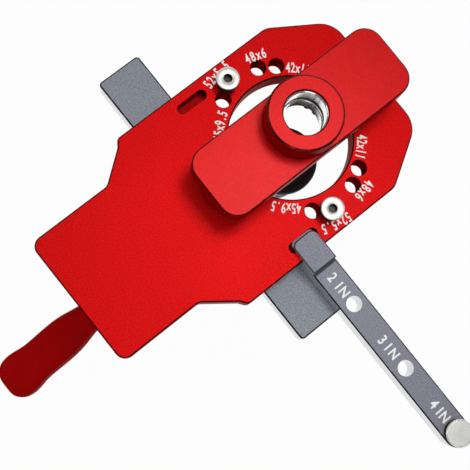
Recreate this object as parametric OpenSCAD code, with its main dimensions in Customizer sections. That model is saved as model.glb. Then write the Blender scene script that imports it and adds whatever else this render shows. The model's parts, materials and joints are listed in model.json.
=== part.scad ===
// Hinge jig: a clamp-on guide for boring the cup of a concealed door hinge.
// Millimetres. The origin is on the cup's axis at the plate's underside. +Z is up, +Y points
// to the door's edge under the fence and +X to the stop arm.

/* [Base plate] */
// thickness of the base plate
plate_t = 8; // [6:0.5:12]
// width of the base plate's wide part
plate_w = 66; // [64:1:74]
// width of the base plate's narrow rear end
plate_rear_w = 46; // [42:1:52]
// front edge of the plate, from the cup's axis
plate_front = 35.1; // [34.6:0.1:38]
// rear edge of the plate, from the cup's axis
plate_rear = 84.9; // [82:0.1:92]
// diameter of the opening that the cutter passes
opening_d = 40; // [36:0.5:41]
// chamfer on the plate's outer edges
plate_edge = 0.45; // [0.2:0.05:0.8]
// diameter of the holes for the drill bushes
bush_hole_d = 5; // [4.5:0.1:5.5]

/* [Bridge and boss] */
// width of the bridge
bridge_w = 24; // [23.5:0.5:28]
// rear end of the bridge, from the cup's axis
bridge_rear = 35; // [34.5:0.1:36]
// front end of the bridge, from the cup's axis
bridge_front = 36.6; // [34.6:0.1:38]
// thickness of the bridge
bridge_t = 8; // [6:0.5:10]
// height of the posts between plate and bridge
post_h = 11.5; // [10:0.5:16]
// diameter of the posts
post_d = 11; // [9:0.5:12]
// distance of the posts from the cup's axis
post_y = 29; // [28:0.1:29.2]
// diameter of the boss on the bridge
boss_d = 23; // [22.6:0.1:24]
// height of the boss above the bridge
boss_h = 10.5; // [10:0.5:12]

/* [Shank bearings] */
// bore of both bearings, the size of the cutter's shank
shank_d = 12.7; // [12.65:0.01:12.75]
// outside diameter of both bearings
bearing_d = 19.05; // [19:0.01:19.1]
// width of one bearing
bearing_w = 6; // [5:0.5:6]
// distance between the two bearings
spacer_w = 3; // [2:0.5:3]
// number of balls in one bearing
ball_count = 14; // [10:1:16]

/* [Fence] */
// length of the fence bar
fence_l = 105; // [90:1:120]
// width of the fence bar
fence_w = 16; // [15:0.5:17]
// depth of the fence bar below the plate
fence_t = 8; // [7.5:0.5:12]
// smallest distance from the door's edge to the cup
edge_distance = 3; // [2.5:0.5:4]
// travel of the fence bar to its largest distance
fence_travel = 3; // [2:0.5:3]
// distance of the two fence screws from the middle
fence_screw_x = 22; // [20:0.5:24]

/* [Stop arm] */
// width of the stop arm
arm_w = 9; // [8:0.5:10]
// thickness of the stop arm
arm_t = 8; // [6:0.5:8]
// step between the stop arm's holes
hole_step = 25.4; // [20:0.1:26]
// distance of the inner hole from the cup's axis
first_hole = 53.3; // [50:0.1:56]
// radius of the fillet at the foot of the stop arm's head
foot_r = 1.6; // [1:0.2:2]
// diameter of the stop pin's shank
pin_d = 5; // [4:0.1:5]
// diameter of the stop pin's head
pin_head_d = 8.8; // [7:0.1:9]
// reach of the stop pin below the plate's underside
pin_reach = 10; // [6:0.5:16]

/* [Drill bushes] */
// diameter of a bush's head
bush_head_d = 7.5; // [7:0.1:8]
// diameter of the drill that a bush guides
bush_bore_d = 2.7; // [2:0.1:3.2]

/* [Toggle clamp] */
// distance from the plate's underside to the pad, the door's thickness
door_t = 18; // [16:0.5:18]
// sideways place of the clamp's middle
clamp_x = 2; // [0:0.5:3]
// diameter of the rubber pad
pad_d = 23.4; // [20:0.1:26]
// diameter of the pad's spindle
spindle_d = 8; // [7.6:0.1:8]
// thickness of the clamp's sheet steel
sheet_t = 2.5; // [2:0.1:2.5]
// width of the grip at its middle
grip_w = 14.2; // [12:0.1:15]
// thickness of the grip
grip_t = 12.5; // [11.5:0.1:14]

/* [Hidden] */

$fn = 64;
arc_steps = 8;
skin = 0.05;
touch = 0.01;
cut = 1;
edge = 0.4;

// heights
bridge_z = plate_t + post_h;
boss_z = bridge_z + bridge_t;
boss_top = boss_z + boss_h;

// base plate: [x, y, corner radius] of the right half, from the rear to the front
side_x = plate_w / 2;
rear_x = plate_rear_w / 2;
half_outline = [
    [rear_x, -plate_rear, 3.5],
    [rear_x, -55.4, 3],
    [side_x - 2.4, -45.4, 1],
    [side_x, -43.7, 2.2],
    [side_x, 16.3, 6],
    [side_x - 11.7, plate_front, 9]
];
plate_outline = concat(half_outline, mirrored(half_outline));
bush_holes = [[22.5, -9.5], [26, -5.5], [24, 6], [21, 11]];
bush_place = bush_holes[1];
slot_x = 28;
slot_y = -17.8;
slot_w = 3.5;
slot_l = 11;
slot_depth = 5;
clear_m5 = 5.3;
tapped_m5 = 5.1;
tapped_m4 = 4.1;
head_m5 = 9.5;
head_m5_h = 2.8;
clamp_screw_depth = 6.5;
fence_screw_depth = 6;
fence_screw_y = -30;
mouth = 0.15;

// screws and hexagon sockets, as diameters across the corners
socket_m4 = 3.46;
shank_m4 = 4;
head_m4 = 7;
head_m4_h = 4;
shank_m5 = 5;
button_m5 = 8.5;
button_m5_h = 2.6;
button_socket_h = 1.6;
socket_h = 2;

// bridge and posts
bridge_corner_r = 6;
post_chamfer = 0.3;
boss_chamfer = 0.6;
blind_wall = 1.7;
screw_end_gap = 0.8;

// boss and bearings
seat_d = bearing_d + 0.04;
lip_d = shank_d + 0.6;
lip_t = 1.2;
seat_top = boss_top - lip_t;
upper_z = seat_top - bearing_w;
lower_z = upper_z - spacer_w - bearing_w;
circlip_t = 1;
groove_z = lower_z - circlip_t - 0.1;
groove_d = seat_d + 1.2;
inner_ring_d = shank_d + 1.9;
outer_ring_d = bearing_d - 1.85;
ball_ring_d = (inner_ring_d + outer_ring_d) / 2;
ball_d = 1.8;
race_d = 2.2;
side_gap = 0.2;
cage_half_t = 0.35;
cage_half_h = 1.6;
shield_t = 0.3;
shield_inset = 0.3;
spacer_bore = 15.4;
circlip_bore = 16.4;
lug_turn = 105;
lug_x = 7.5;
lug_y = 1.6;
lug_d = 2.4;
lug_hole_d = 1;
circlip_gap = 0.7;

// fence
fence_top = -skin;
fence_front = edge_distance - 23.5;
counterbore = 4.7;
fence_web = fence_t - counterbore;
fence_corner_r = 1.3;
fence_slot_w = 4.4;
fence_bore_w = 7.8;
fence_washer_d = 7.4;
fence_washer_t = 0.5;
fence_screw_end = 5.5;

// stop arm
arm_start = side_x + 0.2;
arm_end = first_hole + 2 * hole_step;
head_start = 26.8;
head_end = 38.3;
head_h = 2.95;
head_corner_r = 2.2;
tongue_gap = 0.08;
tongue_end_gap = 0.2;
tongue_low_gap = 0.3;
pin_hole_gap = 0.05;
pin_head_h = 2.6;
pin_chamfer = 0.45;

// drill bushes, heights above the plate's underside
bush_low = 0.5;
bush_gap = 0.04;
bush_neck_d = 6.2;
bush_neck_top = plate_t + 4.2;
bush_head_low = plate_t + 4.6;
bush_top = plate_t + 6.4;
bush_chamfer = 0.3;
bush_mouth = 0.3;

// clamp layers, measured sideways from its middle plane
lever_half = 1.5;
link_in = 1.8;
link_out = 3.8;
strip_in = 4.1;
strip_out = strip_in + sheet_t;
base_in = strip_out + 0.3;
base_out = base_in + sheet_t;
flange_out = base_out + 8.8;

// clamp pivots as [y, z]
arm_pivot = [-48, -16];
link_pivot = [-70, -11];
handle_pivot = [-48, -34];
link_end = [-60.1, -21.35];
base_front = -42;
base_back = -80;
base_screw_x = base_out + 4.9;
base_screw_y = [-49, -73];
rivet_r = 2.5;
rivet_gap = 0.05;
link_r = 4.5;
lever_reach = 6;

// brackets
base_inner_r = 0.6;
base_outer_r = 2.8;
base_low = -26;
base_flange_in = 5;
base_corner_r = 4;
base_eye = 6;
base_link_eye = 5.6;
base_hole_d = 5.4;

// arm eyes and bends
arm_eye = 5.2;
arm_elbow_r = 5;
arm_end_r = 2.5;
arm_nose = 0.4;

// pad, spindle and arm
pad_t = 7;
pad_top = -door_t;
near_nut_t = 4;
far_nut_t = 6.5;
washer_t = 1.5;
washer_d = 18;
nut_across = 13;
bar_top = -33;
bar_h = 9;
bar_bottom = bar_top - bar_h;
spindle_end = bar_bottom - washer_t - far_nut_t - 4;
spindle_chamfer = 0.8;
spindle_shoulder = 0.6;
socket_top = pad_top - 2.5;
socket_low = socket_top - spindle_shoulder;
nut_chamfer = 0.6;
nut_corner = 0.1;
thread_gap = 0.05;
pad_neck_r = 7.6;
pad_rim_low = pad_top - 2.6;
pad_slope = 1.2;
pad_round = 0.7;

// handle
tail_z = -36;
tail_half = 4;
tail_shift = 1.5;
tail_end = -118;
grip_start = -79.5;
grip_end = -120.8;
neck_shift = -0.7;
lever_bend_start = -69.4;
lever_bend_end = -76;
lever_bend_step = 0.6;

red = [0.84, 0.1, 0.11];
grey = [0.52, 0.53, 0.57];
bright = [0.85, 0.85, 0.83];
zinc = [0.7, 0.71, 0.72];
dark = [0.12, 0.11, 0.13];
grip_red = [0.45, 0.03, 0.04];

function mirrored(path) = [for (i = [len(path) - 1:-1:0]) [-path[i].x, path[i].y, path[i].z]];

function corner(a, b, c, r) =
    let (u = (a - b) / norm(a - b),
         v = (c - b) / norm(c - b),
         half = acos(u * v) / 2,
         centre = b + (u + v) / norm(u + v) * r / sin(half),
         start = b + u * r / tan(half) - centre,
         stop = b + v * r / tan(half) - centre,
         from = atan2(start.y, start.x),
         swing = (cross(start, stop) > 0 ? 1 : -1) * (180 - 2 * half))
    [
        for (i = [0:arc_steps])
            let (turn = from + swing * i / arc_steps)
            centre + r * [cos(turn), sin(turn)]
    ];

// outline with round corners from points given as [x, y, corner radius]
function rounded(p) = [
    for (i = [0:len(p) - 1])
        let (a = p[(i + len(p) - 1) % len(p)], b = p[i], c = p[(i + 1) % len(p)])
        each (b.z > 0 ? corner([a.x, a.y], [b.x, b.y], [c.x, c.y], b.z) : [[b.x, b.y]])
];

// outline drawn in by d, for a path that runs counter-clockwise
function drawn_in(path, d) = [
    for (i = [0:len(path) - 1])
        let (n = len(path),
             u = path[i] - path[(i + n - 1) % n],
             v = path[(i + 1) % n] - path[i],
             nu = [-u.y, u.x] / norm(u),
             nv = [-v.y, v.x] / norm(v))
        path[i] + d * (nu + nv) / (1 + nu * nv)
];

// strips that fill an outline of n points, from its first and last point inwards.
// the outline is convex, or its second half mirrors the first
function ladder(n, first) =
    let (half = floor(n / 2))
    concat(
        [for (i = [0:half - 2]) [first + i, first + i + 1, first + n - 2 - i, first + n - 1 - i]],
        n % 2 == 1 ? [[first + half - 1, first + half, first + half + 1]] : []
    );

// flat piece between two heights with chamfered upper and lower edges
module slab(path, low, high, chamfer) {
    n = len(path);
    small = drawn_in(path, chamfer);
    rings = concat(
        [for (p = small) [p.x, p.y, low]],
        [for (p = path) [p.x, p.y, low + chamfer]],
        [for (p = path) [p.x, p.y, high - chamfer]],
        [for (p = small) [p.x, p.y, high]]
    );
    sides = [
        for (k = [0:2], i = [0:n - 1])
            [k * n + i, (k + 1) * n + i, (k + 1) * n + (i + 1) % n, k * n + (i + 1) % n]
    ];
    polyhedron(
        points = rings,
        faces = concat(ladder(n, 0), sides, [for (f = ladder(n, 3 * n)) [for (i = [len(f) - 1:-1:0]) f[i]]])
    );
}

// round bar or hole between two heights
module post(at, d, low, high) {
    translate([at.x, at.y, low])
        cylinder(d = d, h = high - low);
}

// countersink or chamfer between two heights
module cone(at, d_low, d_high, low, high) {
    translate([at.x, at.y, low])
        cylinder(d1 = d_low, d2 = d_high, h = high - low);
}

// turned piece from a profile of [radius, height] points
module turned(profile) {
    rotate_extrude($fn = 96)
        polygon(profile);
}

// slot with round ends along Y
module slot(at, w, l, low, high) {
    post([at.x, at.y - (l - w) / 2], w, low, high);
    post([at.x, at.y + (l - w) / 2], w, low, high);
    translate([at.x - w / 2, at.y - (l - w) / 2, low])
        cube([w, l - w, high - low]);
}

// side profile of [y, z] points between two distances from the clamp's middle plane
module side_sheet(path, from, to) {
    translate([clamp_x + from, 0, 0])
        rotate([90, 0, 90])
            linear_extrude(to - from)
                polygon(path);
}

// round bar across the clamp at a pivot
module cross_bar(at, r, from, to) {
    translate([clamp_x + from, at.x, at.y])
        rotate([0, 90, 0])
            cylinder(r = r, h = to - from);
}

// rivet across the clamp: a bar and, at each end, a low round head
module rivet(at, reach, head_r, head_h) {
    cross_bar(at, rivet_r, -reach, reach);
    translate([clamp_x, at.x, at.y])
        for (side = [-90, 90])
            rotate([0, side, 0])
                turned([
                    [0, reach], [head_r, reach], [head_r, reach + head_h * 0.4],
                    [head_r * 0.8, reach + head_h * 0.8], [head_r * 0.45, reach + head_h], [0, reach + head_h]
                ]);
}

// pair of short rivets, one on each side of the lever's plane, with the round head outside
module short_rivets(at, reach, head_r, head_h) {
    for (side = [-1, 1])
        translate([clamp_x, at.x, at.y])
            rotate([0, side * 90, 0])
                turned([
                    [0, link_in + skin], [rivet_r, link_in + skin], [rivet_r, reach],
                    [head_r, reach], [head_r, reach + head_h * 0.4],
                    [head_r * 0.8, reach + head_h * 0.8], [head_r * 0.45, reach + head_h], [0, reach + head_h]
                ]);
}

// flat-head screw with its head down and a hexagon socket
module countersunk_screw(at, low, head_d, head_h, shank_d, high) {
    difference() {
        union() {
            cone(at, head_d, shank_d, low, low + head_h);
            post(at, shank_d, low + head_h / 2, high - edge);
            cone(at, shank_d, shank_d - 2 * edge, high - edge, high);
        }
        translate([at.x, at.y, low - cut])
            cylinder(d = socket_m4, h = socket_h + cut, $fn = 6);
    }
}

// base plate with the opening, pattern holes, slots and threaded holes
module main_plate() {
    color(red)
    difference() {
        slab(rounded(plate_outline), 0, plate_t, plate_edge);
        post([0, 0], opening_d, -cut, plate_t + cut);
        cone([0, 0], opening_d, opening_d + 2 * edge + 2 * touch, plate_t - edge, plate_t + touch);
        for (side = [-1, 1]) {
            for (p = bush_holes) {
                post([side * p.x, p.y], bush_hole_d, -cut, plate_t + cut);
                cone(
                    [side * p.x, p.y], bush_hole_d, bush_hole_d + 2 * mouth,
                    plate_t - mouth, plate_t + touch
                );
            }
            slot([side * slot_x, slot_y], slot_w, slot_l, plate_t - slot_depth, plate_t + cut);
            post([side * fence_screw_x, fence_screw_y], tapped_m4, -cut, fence_screw_depth);
            post([0, side * post_y], clear_m5, -cut, plate_t + cut);
            cone([0, side * post_y], head_m5 + post_chamfer, clear_m5, 0, head_m5_h);
            post([0, side * post_y], head_m5 + post_chamfer, -cut, touch);
            for (y = base_screw_y)
                post([clamp_x + side * base_screw_x, y], tapped_m5, -cut, clamp_screw_depth);
        }
    }
}

// bridge block with the bearing boss in the middle
module bridge() {
    half = bridge_w / 2;
    color(red)
    difference() {
        union() {
            slab(rounded([
                [-half, -bridge_rear, bridge_corner_r], [half, -bridge_rear, bridge_corner_r],
                [half, bridge_front, bridge_corner_r], [-half, bridge_front, bridge_corner_r]
            ]), bridge_z, boss_z, edge);
            turned([
                [0, boss_z - cut], [boss_d / 2, boss_z - cut], [boss_d / 2, boss_top - boss_chamfer],
                [boss_d / 2 - boss_chamfer, boss_top], [0, boss_top]
            ]);
        }
        post([0, 0], seat_d, bridge_z - cut, seat_top);
        post([0, 0], lip_d, bridge_z, boss_top + cut);
        cone([0, 0], lip_d, lip_d + 2 * post_chamfer, boss_top - post_chamfer, boss_top + touch);
        post([0, 0], groove_d, groove_z, lower_z);
        for (side = [-1, 1])
            post([0, side * post_y], tapped_m5, bridge_z - cut, boss_z - blind_wall);
    }
}

// spacer tube between plate and bridge
module bridge_post() {
    difference() {
        turned([
            [0, plate_t], [post_d / 2 - post_chamfer, plate_t], [post_d / 2, plate_t + post_chamfer],
            [post_d / 2, bridge_z - post_chamfer], [post_d / 2 - post_chamfer, bridge_z], [0, bridge_z]
        ]);
        post([0, 0], clear_m5, plate_t - cut, bridge_z + cut);
    }
}

module rear_bridge_post() {
    color(red)
    translate([0, -post_y, 0])
        bridge_post();
}

module front_bridge_post() {
    color(red)
    translate([0, post_y, 0])
        bridge_post();
}

// two countersunk screws from below, through plate and posts into the bridge
module bridge_screws() {
    color(zinc)
    for (side = [-1, 1])
        countersunk_screw(
            [0, side * post_y], 2 * skin, head_m5, head_m5_h, shank_m5, boss_z - blind_wall - screw_end_gap
        );
}

// ring with a race for the balls inside
module bearing_outer_ring(low) {
    difference() {
        turned([
            [outer_ring_d / 2, low], [bearing_d / 2 - edge, low], [bearing_d / 2, low + edge],
            [bearing_d / 2, low + bearing_w - edge], [bearing_d / 2 - edge, low + bearing_w],
            [outer_ring_d / 2, low + bearing_w]
        ]);
        raceway(low);
    }
}

// ring with a race for the balls outside, a little narrower than the outer one
module bearing_inner_ring(low) {
    difference() {
        turned([
            [shank_d / 2, low + side_gap + edge], [shank_d / 2 + edge, low + side_gap],
            [inner_ring_d / 2, low + side_gap], [inner_ring_d / 2, low + bearing_w - side_gap],
            [shank_d / 2 + edge, low + bearing_w - side_gap], [shank_d / 2, low + bearing_w - side_gap - edge]
        ]);
        raceway(low);
    }
}

// round groove in which the balls run
module raceway(low) {
    translate([0, 0, low + bearing_w / 2])
        rotate_extrude($fn = 96)
            translate([ball_ring_d / 2, 0])
                circle(d = race_d);
}

// full circle of balls
module bearing_balls(low) {
    for (i = [0:ball_count - 1])
        rotate(i * 360 / ball_count)
            translate([ball_ring_d / 2, 0, low + bearing_w / 2])
                sphere(d = ball_d, $fn = 24);
}

// thin ring with a round window for each ball
module bearing_cage(low) {
    middle = low + bearing_w / 2;
    inner = ball_ring_d / 2 - cage_half_t;
    outer = ball_ring_d / 2 + cage_half_t;
    difference() {
        turned([
            [inner, middle - cage_half_h], [outer, middle - cage_half_h],
            [outer, middle + cage_half_h], [inner, middle + cage_half_h]
        ]);
        for (i = [0:ball_count - 1])
            rotate(i * 360 / ball_count)
                translate([ball_ring_d / 2 - cut, 0, middle])
                    rotate([0, 90, 0])
                        cylinder(d = ball_d + 2 * skin, h = 2 * cut);
    }
}

module upper_bearing_outer_ring() {
    color(bright)
    bearing_outer_ring(upper_z);
}

module upper_bearing_balls() {
    color(bright)
    bearing_balls(upper_z);
}

module upper_bearing_cage() {
    color(zinc)
    bearing_cage(upper_z);
}

module upper_bearing_inner_ring() {
    color(bright)
    bearing_inner_ring(upper_z);
}

module lower_bearing_outer_ring() {
    color(bright)
    bearing_outer_ring(lower_z);
}

module lower_bearing_balls() {
    color(bright)
    bearing_balls(lower_z);
}

module lower_bearing_cage() {
    color(zinc)
    bearing_cage(lower_z);
}

module lower_bearing_inner_ring() {
    color(bright)
    bearing_inner_ring(lower_z);
}

// four thin rings that close the two bearings' sides
module bearing_shields() {
    color(zinc)
    for (low = [lower_z, upper_z])
        for (face = [low + shield_inset, low + bearing_w - shield_inset - shield_t])
            difference() {
                post([0, 0], outer_ring_d - 2 * touch, face, face + shield_t);
                post([0, 0], inner_ring_d + shield_inset, face - cut, face + cut);
            }
}

// tube that keeps the two bearings apart
module bearing_spacer() {
    color(zinc)
    difference() {
        post([0, 0], bearing_d, upper_z - spacer_w, upper_z);
        post([0, 0], spacer_bore, lower_z, upper_z + cut);
    }
}

// open spring ring in the boss's groove, with an eye at each end
module bearing_circlip() {
    low = groove_z + skin;
    high = low + circlip_t;
    color(dark)
    rotate(lug_turn)
    difference() {
        union() {
            difference() {
                post([0, 0], groove_d - 0.2, low, high);
                post([0, 0], circlip_bore, low - cut, high + cut);
            }
            for (side = [-1, 1])
                post([lug_x, side * lug_y], lug_d, low, high);
        }
        translate([0, -circlip_gap / 2, low - cut])
            cube([groove_d, circlip_gap, circlip_t + 2 * cut]);
        for (side = [-1, 1])
            post([lug_x, side * lug_y], lug_hole_d, low - cut, high + cut);
    }
}

// bar that rests on the door's edge, with two slots for its screws
module fence_bar() {
    rear = fence_front - fence_w;
    half = fence_l / 2;
    low = fence_top - fence_t;
    color(grey)
    difference() {
        slab(rounded([
            [-half, rear, fence_corner_r], [half, rear, fence_corner_r],
            [half, fence_front, fence_corner_r], [-half, fence_front, fence_corner_r]
        ]), low, fence_top, edge);
        for (side = [-1, 1]) {
            at = [side * fence_screw_x, fence_screw_y + fence_travel / 2];
            slot(at, fence_slot_w, fence_slot_w + fence_travel, low - cut, fence_top + cut);
            slot(at, fence_bore_w, fence_bore_w + fence_travel, low - cut, fence_top - fence_web);
        }
    }
}

// cap screws that hold the fence bar in its slots
module fence_screws() {
    head_low = fence_top - fence_web - fence_washer_t - skin - head_m4_h;
    r = head_m4 / 2;
    color(zinc)
    for (side = [-1, 1])
        translate([side * fence_screw_x, fence_screw_y, 0])
            difference() {
                union() {
                    turned([
                        [0, head_low], [r - post_chamfer, head_low], [r, head_low + post_chamfer],
                        [r, head_low + head_m4_h], [0, head_low + head_m4_h]
                    ]);
                    post([0, 0], shank_m4, head_low + socket_h, fence_screw_end);
                }
                translate([0, 0, head_low - cut])
                    cylinder(d = socket_m4, h = socket_h + cut, $fn = 6);
            }
}

// washers between the fence screws' heads and the bar
module fence_washers() {
    high = fence_top - fence_web - skin;
    color(zinc)
    for (side = [-1, 1])
        difference() {
            post([side * fence_screw_x, fence_screw_y], fence_washer_d, high - fence_washer_t, high);
            post([side * fence_screw_x, fence_screw_y], shank_m4 + 6 * skin, high - cut, high + cut);
        }
}

// arm with a head that hooks into the plate's slot and three holes for the stop pin
module stop_arm() {
    low_y = slot_y - arm_w / 2;
    high_y = slot_y + arm_w / 2;
    head_low = plate_t + skin;
    head_top = head_low + head_h;
    bar = concat(
        [for (i = [0:2 * arc_steps])
            let (turn = i * 90 / arc_steps - 90)
            [arm_end, slot_y] + arm_w / 2 * [cos(turn), sin(turn)]],
        [[arm_start, high_y], [arm_start, low_y]]
    );
    head = rounded([
        [head_start, low_y, head_corner_r], [head_end, low_y, 0],
        [head_end, high_y, 0], [head_start, high_y, head_corner_r]
    ]);
    step = [
        [head_start - cut, head_low], [arm_start, head_low], [arm_start, arm_t / 2],
        [head_end + cut, arm_t / 2], [head_end + cut, head_top + cut], [head_start - cut, head_top + cut]
    ];
    color(grey)
    difference() {
        union() {
            slab(bar, 0, arm_t, edge);
            intersection() {
                slab(head, -cut, head_top, edge);
                translate([0, high_y + cut, 0])
                    rotate([90, 0, 0])
                        linear_extrude(arm_w + 2 * cut)
                            polygon(step);
            }
            slot(
                [slot_x, slot_y], slot_w - 2 * tongue_gap, arm_w - 2 * tongue_end_gap,
                plate_t - slot_depth + tongue_low_gap, plate_t + cut
            );
            difference() {
                translate([head_end - cut, low_y + edge, arm_t - cut])
                    cube([foot_r + cut, arm_w - 2 * edge, foot_r + cut]);
                translate([head_end + foot_r - skin, low_y, arm_t + foot_r - skin])
                    rotate([-90, 0, 0])
                        cylinder(r = foot_r, h = arm_w);
            }
        }
        for (i = [0:2])
            post([first_hole + i * hole_step, slot_y], pin_d + 2 * pin_hole_gap, -cut, arm_t + cut);
    }
}

// headed pin that touches the door's end
module stop_pin() {
    r = pin_d / 2;
    head_r = pin_head_d / 2;
    head_top = arm_t + pin_head_h;
    color(bright)
    translate([arm_end, slot_y, 0])
        turned([
            [0, -pin_reach], [r - pin_chamfer, -pin_reach], [r, -pin_reach + pin_chamfer],
            [r, arm_t + skin], [head_r, arm_t + skin], [head_r, head_top - pin_chamfer],
            [head_r - pin_chamfer, head_top], [0, head_top]
        ]);
}

// drill bush that drops into a plate hole, with a wide head to lift it by
module bush(side) {
    body_r = bush_hole_d / 2 - bush_gap;
    head_r = bush_head_d / 2;
    color(bright)
    translate([side * bush_place.x, bush_place.y, 0])
        difference() {
            turned([
                [0, bush_low], [body_r - edge, bush_low], [body_r, bush_low + edge],
                [body_r, plate_t + skin], [bush_neck_d / 2, plate_t + skin], [bush_neck_d / 2, bush_neck_top],
                [head_r - bush_chamfer, bush_neck_top], [head_r, bush_head_low],
                [head_r, bush_top - bush_chamfer], [head_r - bush_chamfer, bush_top], [0, bush_top]
            ]);
            post([0, 0], bush_bore_d, bush_low - cut, bush_top + cut);
            cone([0, 0], bush_bore_d, bush_bore_d + 2 * bush_mouth, bush_top - bush_mouth, bush_top + touch);
        }
}

module left_bush() {
    bush(-1);
}

module right_bush() {
    bush(1);
}

// bracket bent from sheet: an upright for the pivots and a flange under the plate
module clamp_base(side) {
    bend = rounded([
        [side * base_in, 0, base_outer_r], [side * base_in, base_low, 0],
        [side * base_out, base_low, 0], [side * base_out, -sheet_t, base_inner_r],
        [side * flange_out, -sheet_t, 0], [side * flange_out, 0, 0]
    ]);
    upright = rounded([
        [base_front, 0, 0], [base_front, arm_pivot.y - base_eye, base_eye],
        [arm_pivot.x - base_eye, arm_pivot.y - base_eye, arm_elbow_r],
        [link_pivot.x, link_pivot.y - base_link_eye, arm_elbow_r],
        [link_pivot.x - base_eye, link_pivot.y - base_link_eye, arm_elbow_r],
        [base_back, -base_corner_r, base_corner_r / 2], [base_back, 0, 0]
    ]);
    flange = rounded([
        [side * base_flange_in, base_front, 0], [side * base_flange_in, base_back, 0],
        [side * flange_out, base_back, base_corner_r], [side * flange_out, base_front, base_corner_r]
    ]);
    color(zinc)
    difference() {
        intersection() {
            translate([clamp_x, base_front, 0])
                rotate([90, 0, 0])
                    linear_extrude(base_front - base_back)
                        polygon(bend);
            side_sheet(upright, -flange_out - cut, flange_out + cut);
            translate([clamp_x, 0, base_low])
                linear_extrude(-base_low)
                    polygon(flange);
        }
        cross_bar(arm_pivot, rivet_r + rivet_gap, -flange_out, flange_out);
        cross_bar(link_pivot, rivet_r + rivet_gap, -flange_out, flange_out);
        for (y = base_screw_y)
            post([clamp_x + side * base_screw_x, y], base_hole_d, -sheet_t - cut, cut);
    }
}

module clamp_base_left() {
    clamp_base(-1);
}

module clamp_base_right() {
    clamp_base(1);
}

// four button-head screws through the brackets into the plate
module clamp_base_screws() {
    top = -sheet_t;
    low = top - button_m5_h;
    r = button_m5 / 2;
    color(zinc)
    for (side = [-1, 1])
        for (y = base_screw_y)
            translate([clamp_x + side * base_screw_x, y, 0])
                difference() {
                    union() {
                        turned([
                            [0, low], [r * 0.45, low], [r * 0.75, low + button_m5_h * 0.23],
                            [r * 0.94, low + button_m5_h * 0.62], [r, low + button_m5_h * 0.88],
                            [r, top], [0, top]
                        ]);
                        post([0, 0], shank_m5, top - cut, clamp_screw_depth - edge);
                    }
                    translate([0, 0, low - cut])
                        cylinder(d = socket_m4, h = button_socket_h + cut, $fn = 6);
                }
}

// arm bent from one strip into a U, seen from the side
module clamp_arm() {
    profile = rounded([
        [arm_nose + strip_out, bar_top, arm_end_r], [arm_pivot.x + 2 * arm_elbow_r, bar_top, arm_elbow_r],
        [arm_pivot.x + arm_eye + edge, arm_pivot.y + 2, base_corner_r],
        [arm_pivot.x + arm_eye, arm_pivot.y + arm_eye, arm_elbow_r],
        [arm_pivot.x - arm_eye + edge, arm_pivot.y + arm_eye, arm_elbow_r],
        [handle_pivot.x - link_r, handle_pivot.y, base_corner_r],
        [handle_pivot.x - link_r + arm_end_r / 2, bar_bottom, arm_end_r],
        [arm_nose + strip_out, bar_bottom, arm_end_r]
    ]);
    run = arm_nose - base_back;
    rise = bar_h - bar_bottom;
    color(zinc)
    difference() {
        intersection() {
            side_sheet(profile, -strip_out, strip_out);
            translate([clamp_x, 0, bar_bottom - cut])
                difference() {
                    union() {
                        post([0, arm_nose], 2 * strip_out, 0, rise);
                        translate([-strip_out, base_back, 0])
                            cube([2 * strip_out, run, rise]);
                    }
                    post([0, arm_nose], 2 * strip_in, -cut, rise + cut);
                    translate([-strip_in, base_back - cut, -cut])
                        cube([2 * strip_in, run + cut, rise + 2 * cut]);
                }
        }
        cross_bar(arm_pivot, rivet_r + rivet_gap, -strip_out - cut, strip_out + cut);
        cross_bar(handle_pivot, rivet_r + rivet_gap, -strip_out - cut, strip_out + cut);
    }
}

module arm_pivot_rivet() {
    color(zinc)
    rivet(arm_pivot, base_out, 4.2, 1.6);
}

// short rivets that hold the links to the two brackets and leave the lever's plane free
module link_pivot_rivets() {
    color(zinc)
    short_rivets(link_pivot, base_out, 4.2, 1.6);
}

module handle_pivot_rivet() {
    color(zinc)
    rivet(handle_pivot, strip_out, 3.6, 0.2);
}

// hexagon nut between two heights, with its corners turned down
module hex_nut(low, high) {
    big = nut_across / 2 / cos(30);
    difference() {
        intersection() {
            post([0, 0], 2 * big, low, high, $fn = 6);
            turned([
                [0, low], [nut_across / 2 - post_chamfer, low], [big + nut_corner, low + nut_chamfer],
                [big + nut_corner, high - nut_chamfer], [nut_across / 2 - post_chamfer, high], [0, high]
            ]);
        }
        post([0, 0], spindle_d + 2 * thread_gap, low - cut, high + cut);
    }
}

// jam nut on the pad's side and full nut on the outer side of the arm
module spindle_nuts() {
    near_low = bar_top + washer_t;
    color(zinc)
    translate([clamp_x, 0, 0]) {
        hex_nut(near_low, near_low + near_nut_t);
        hex_nut(bar_bottom - washer_t - far_nut_t, bar_bottom - washer_t);
    }
}

module spindle_washers() {
    color(zinc)
    for (low = [bar_top, bar_bottom - washer_t])
        difference() {
            post([clamp_x, 0], washer_d, low, low + washer_t);
            post([clamp_x, 0], spindle_d + 8 * thread_gap, low - cut, low + washer_t + cut);
        }
}

// threaded spindle that ends in the pad's socket
module pad_spindle() {
    r = spindle_d / 2;
    color(zinc)
    translate([clamp_x, 0, 0])
        turned([
            [0, spindle_end], [r - spindle_chamfer, spindle_end], [r, spindle_end + spindle_chamfer],
            [r, socket_low], [r - spindle_shoulder, socket_top], [0, socket_top]
        ]);
}

// soft pad that presses on the door's underside
module rubber_pad() {
    r = pad_d / 2;
    low = pad_top - pad_t;
    color(dark)
    translate([clamp_x, 0, 0])
        difference() {
            turned([
                [0, low], [pad_neck_r - pad_round, low], [pad_neck_r, low + pad_round],
                [r - pad_slope, pad_rim_low - 1], [r, pad_rim_low], [r, pad_top - pad_round],
                [r - pad_round, pad_top], [0, pad_top]
            ]);
            post([0, 0], spindle_d + 2 * touch, low - cut, socket_low);
            cone(
                [0, 0], spindle_d + 2 * touch, spindle_d - 2 * spindle_shoulder + 2 * touch,
                socket_low - touch, socket_top
            );
        }
}

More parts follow.
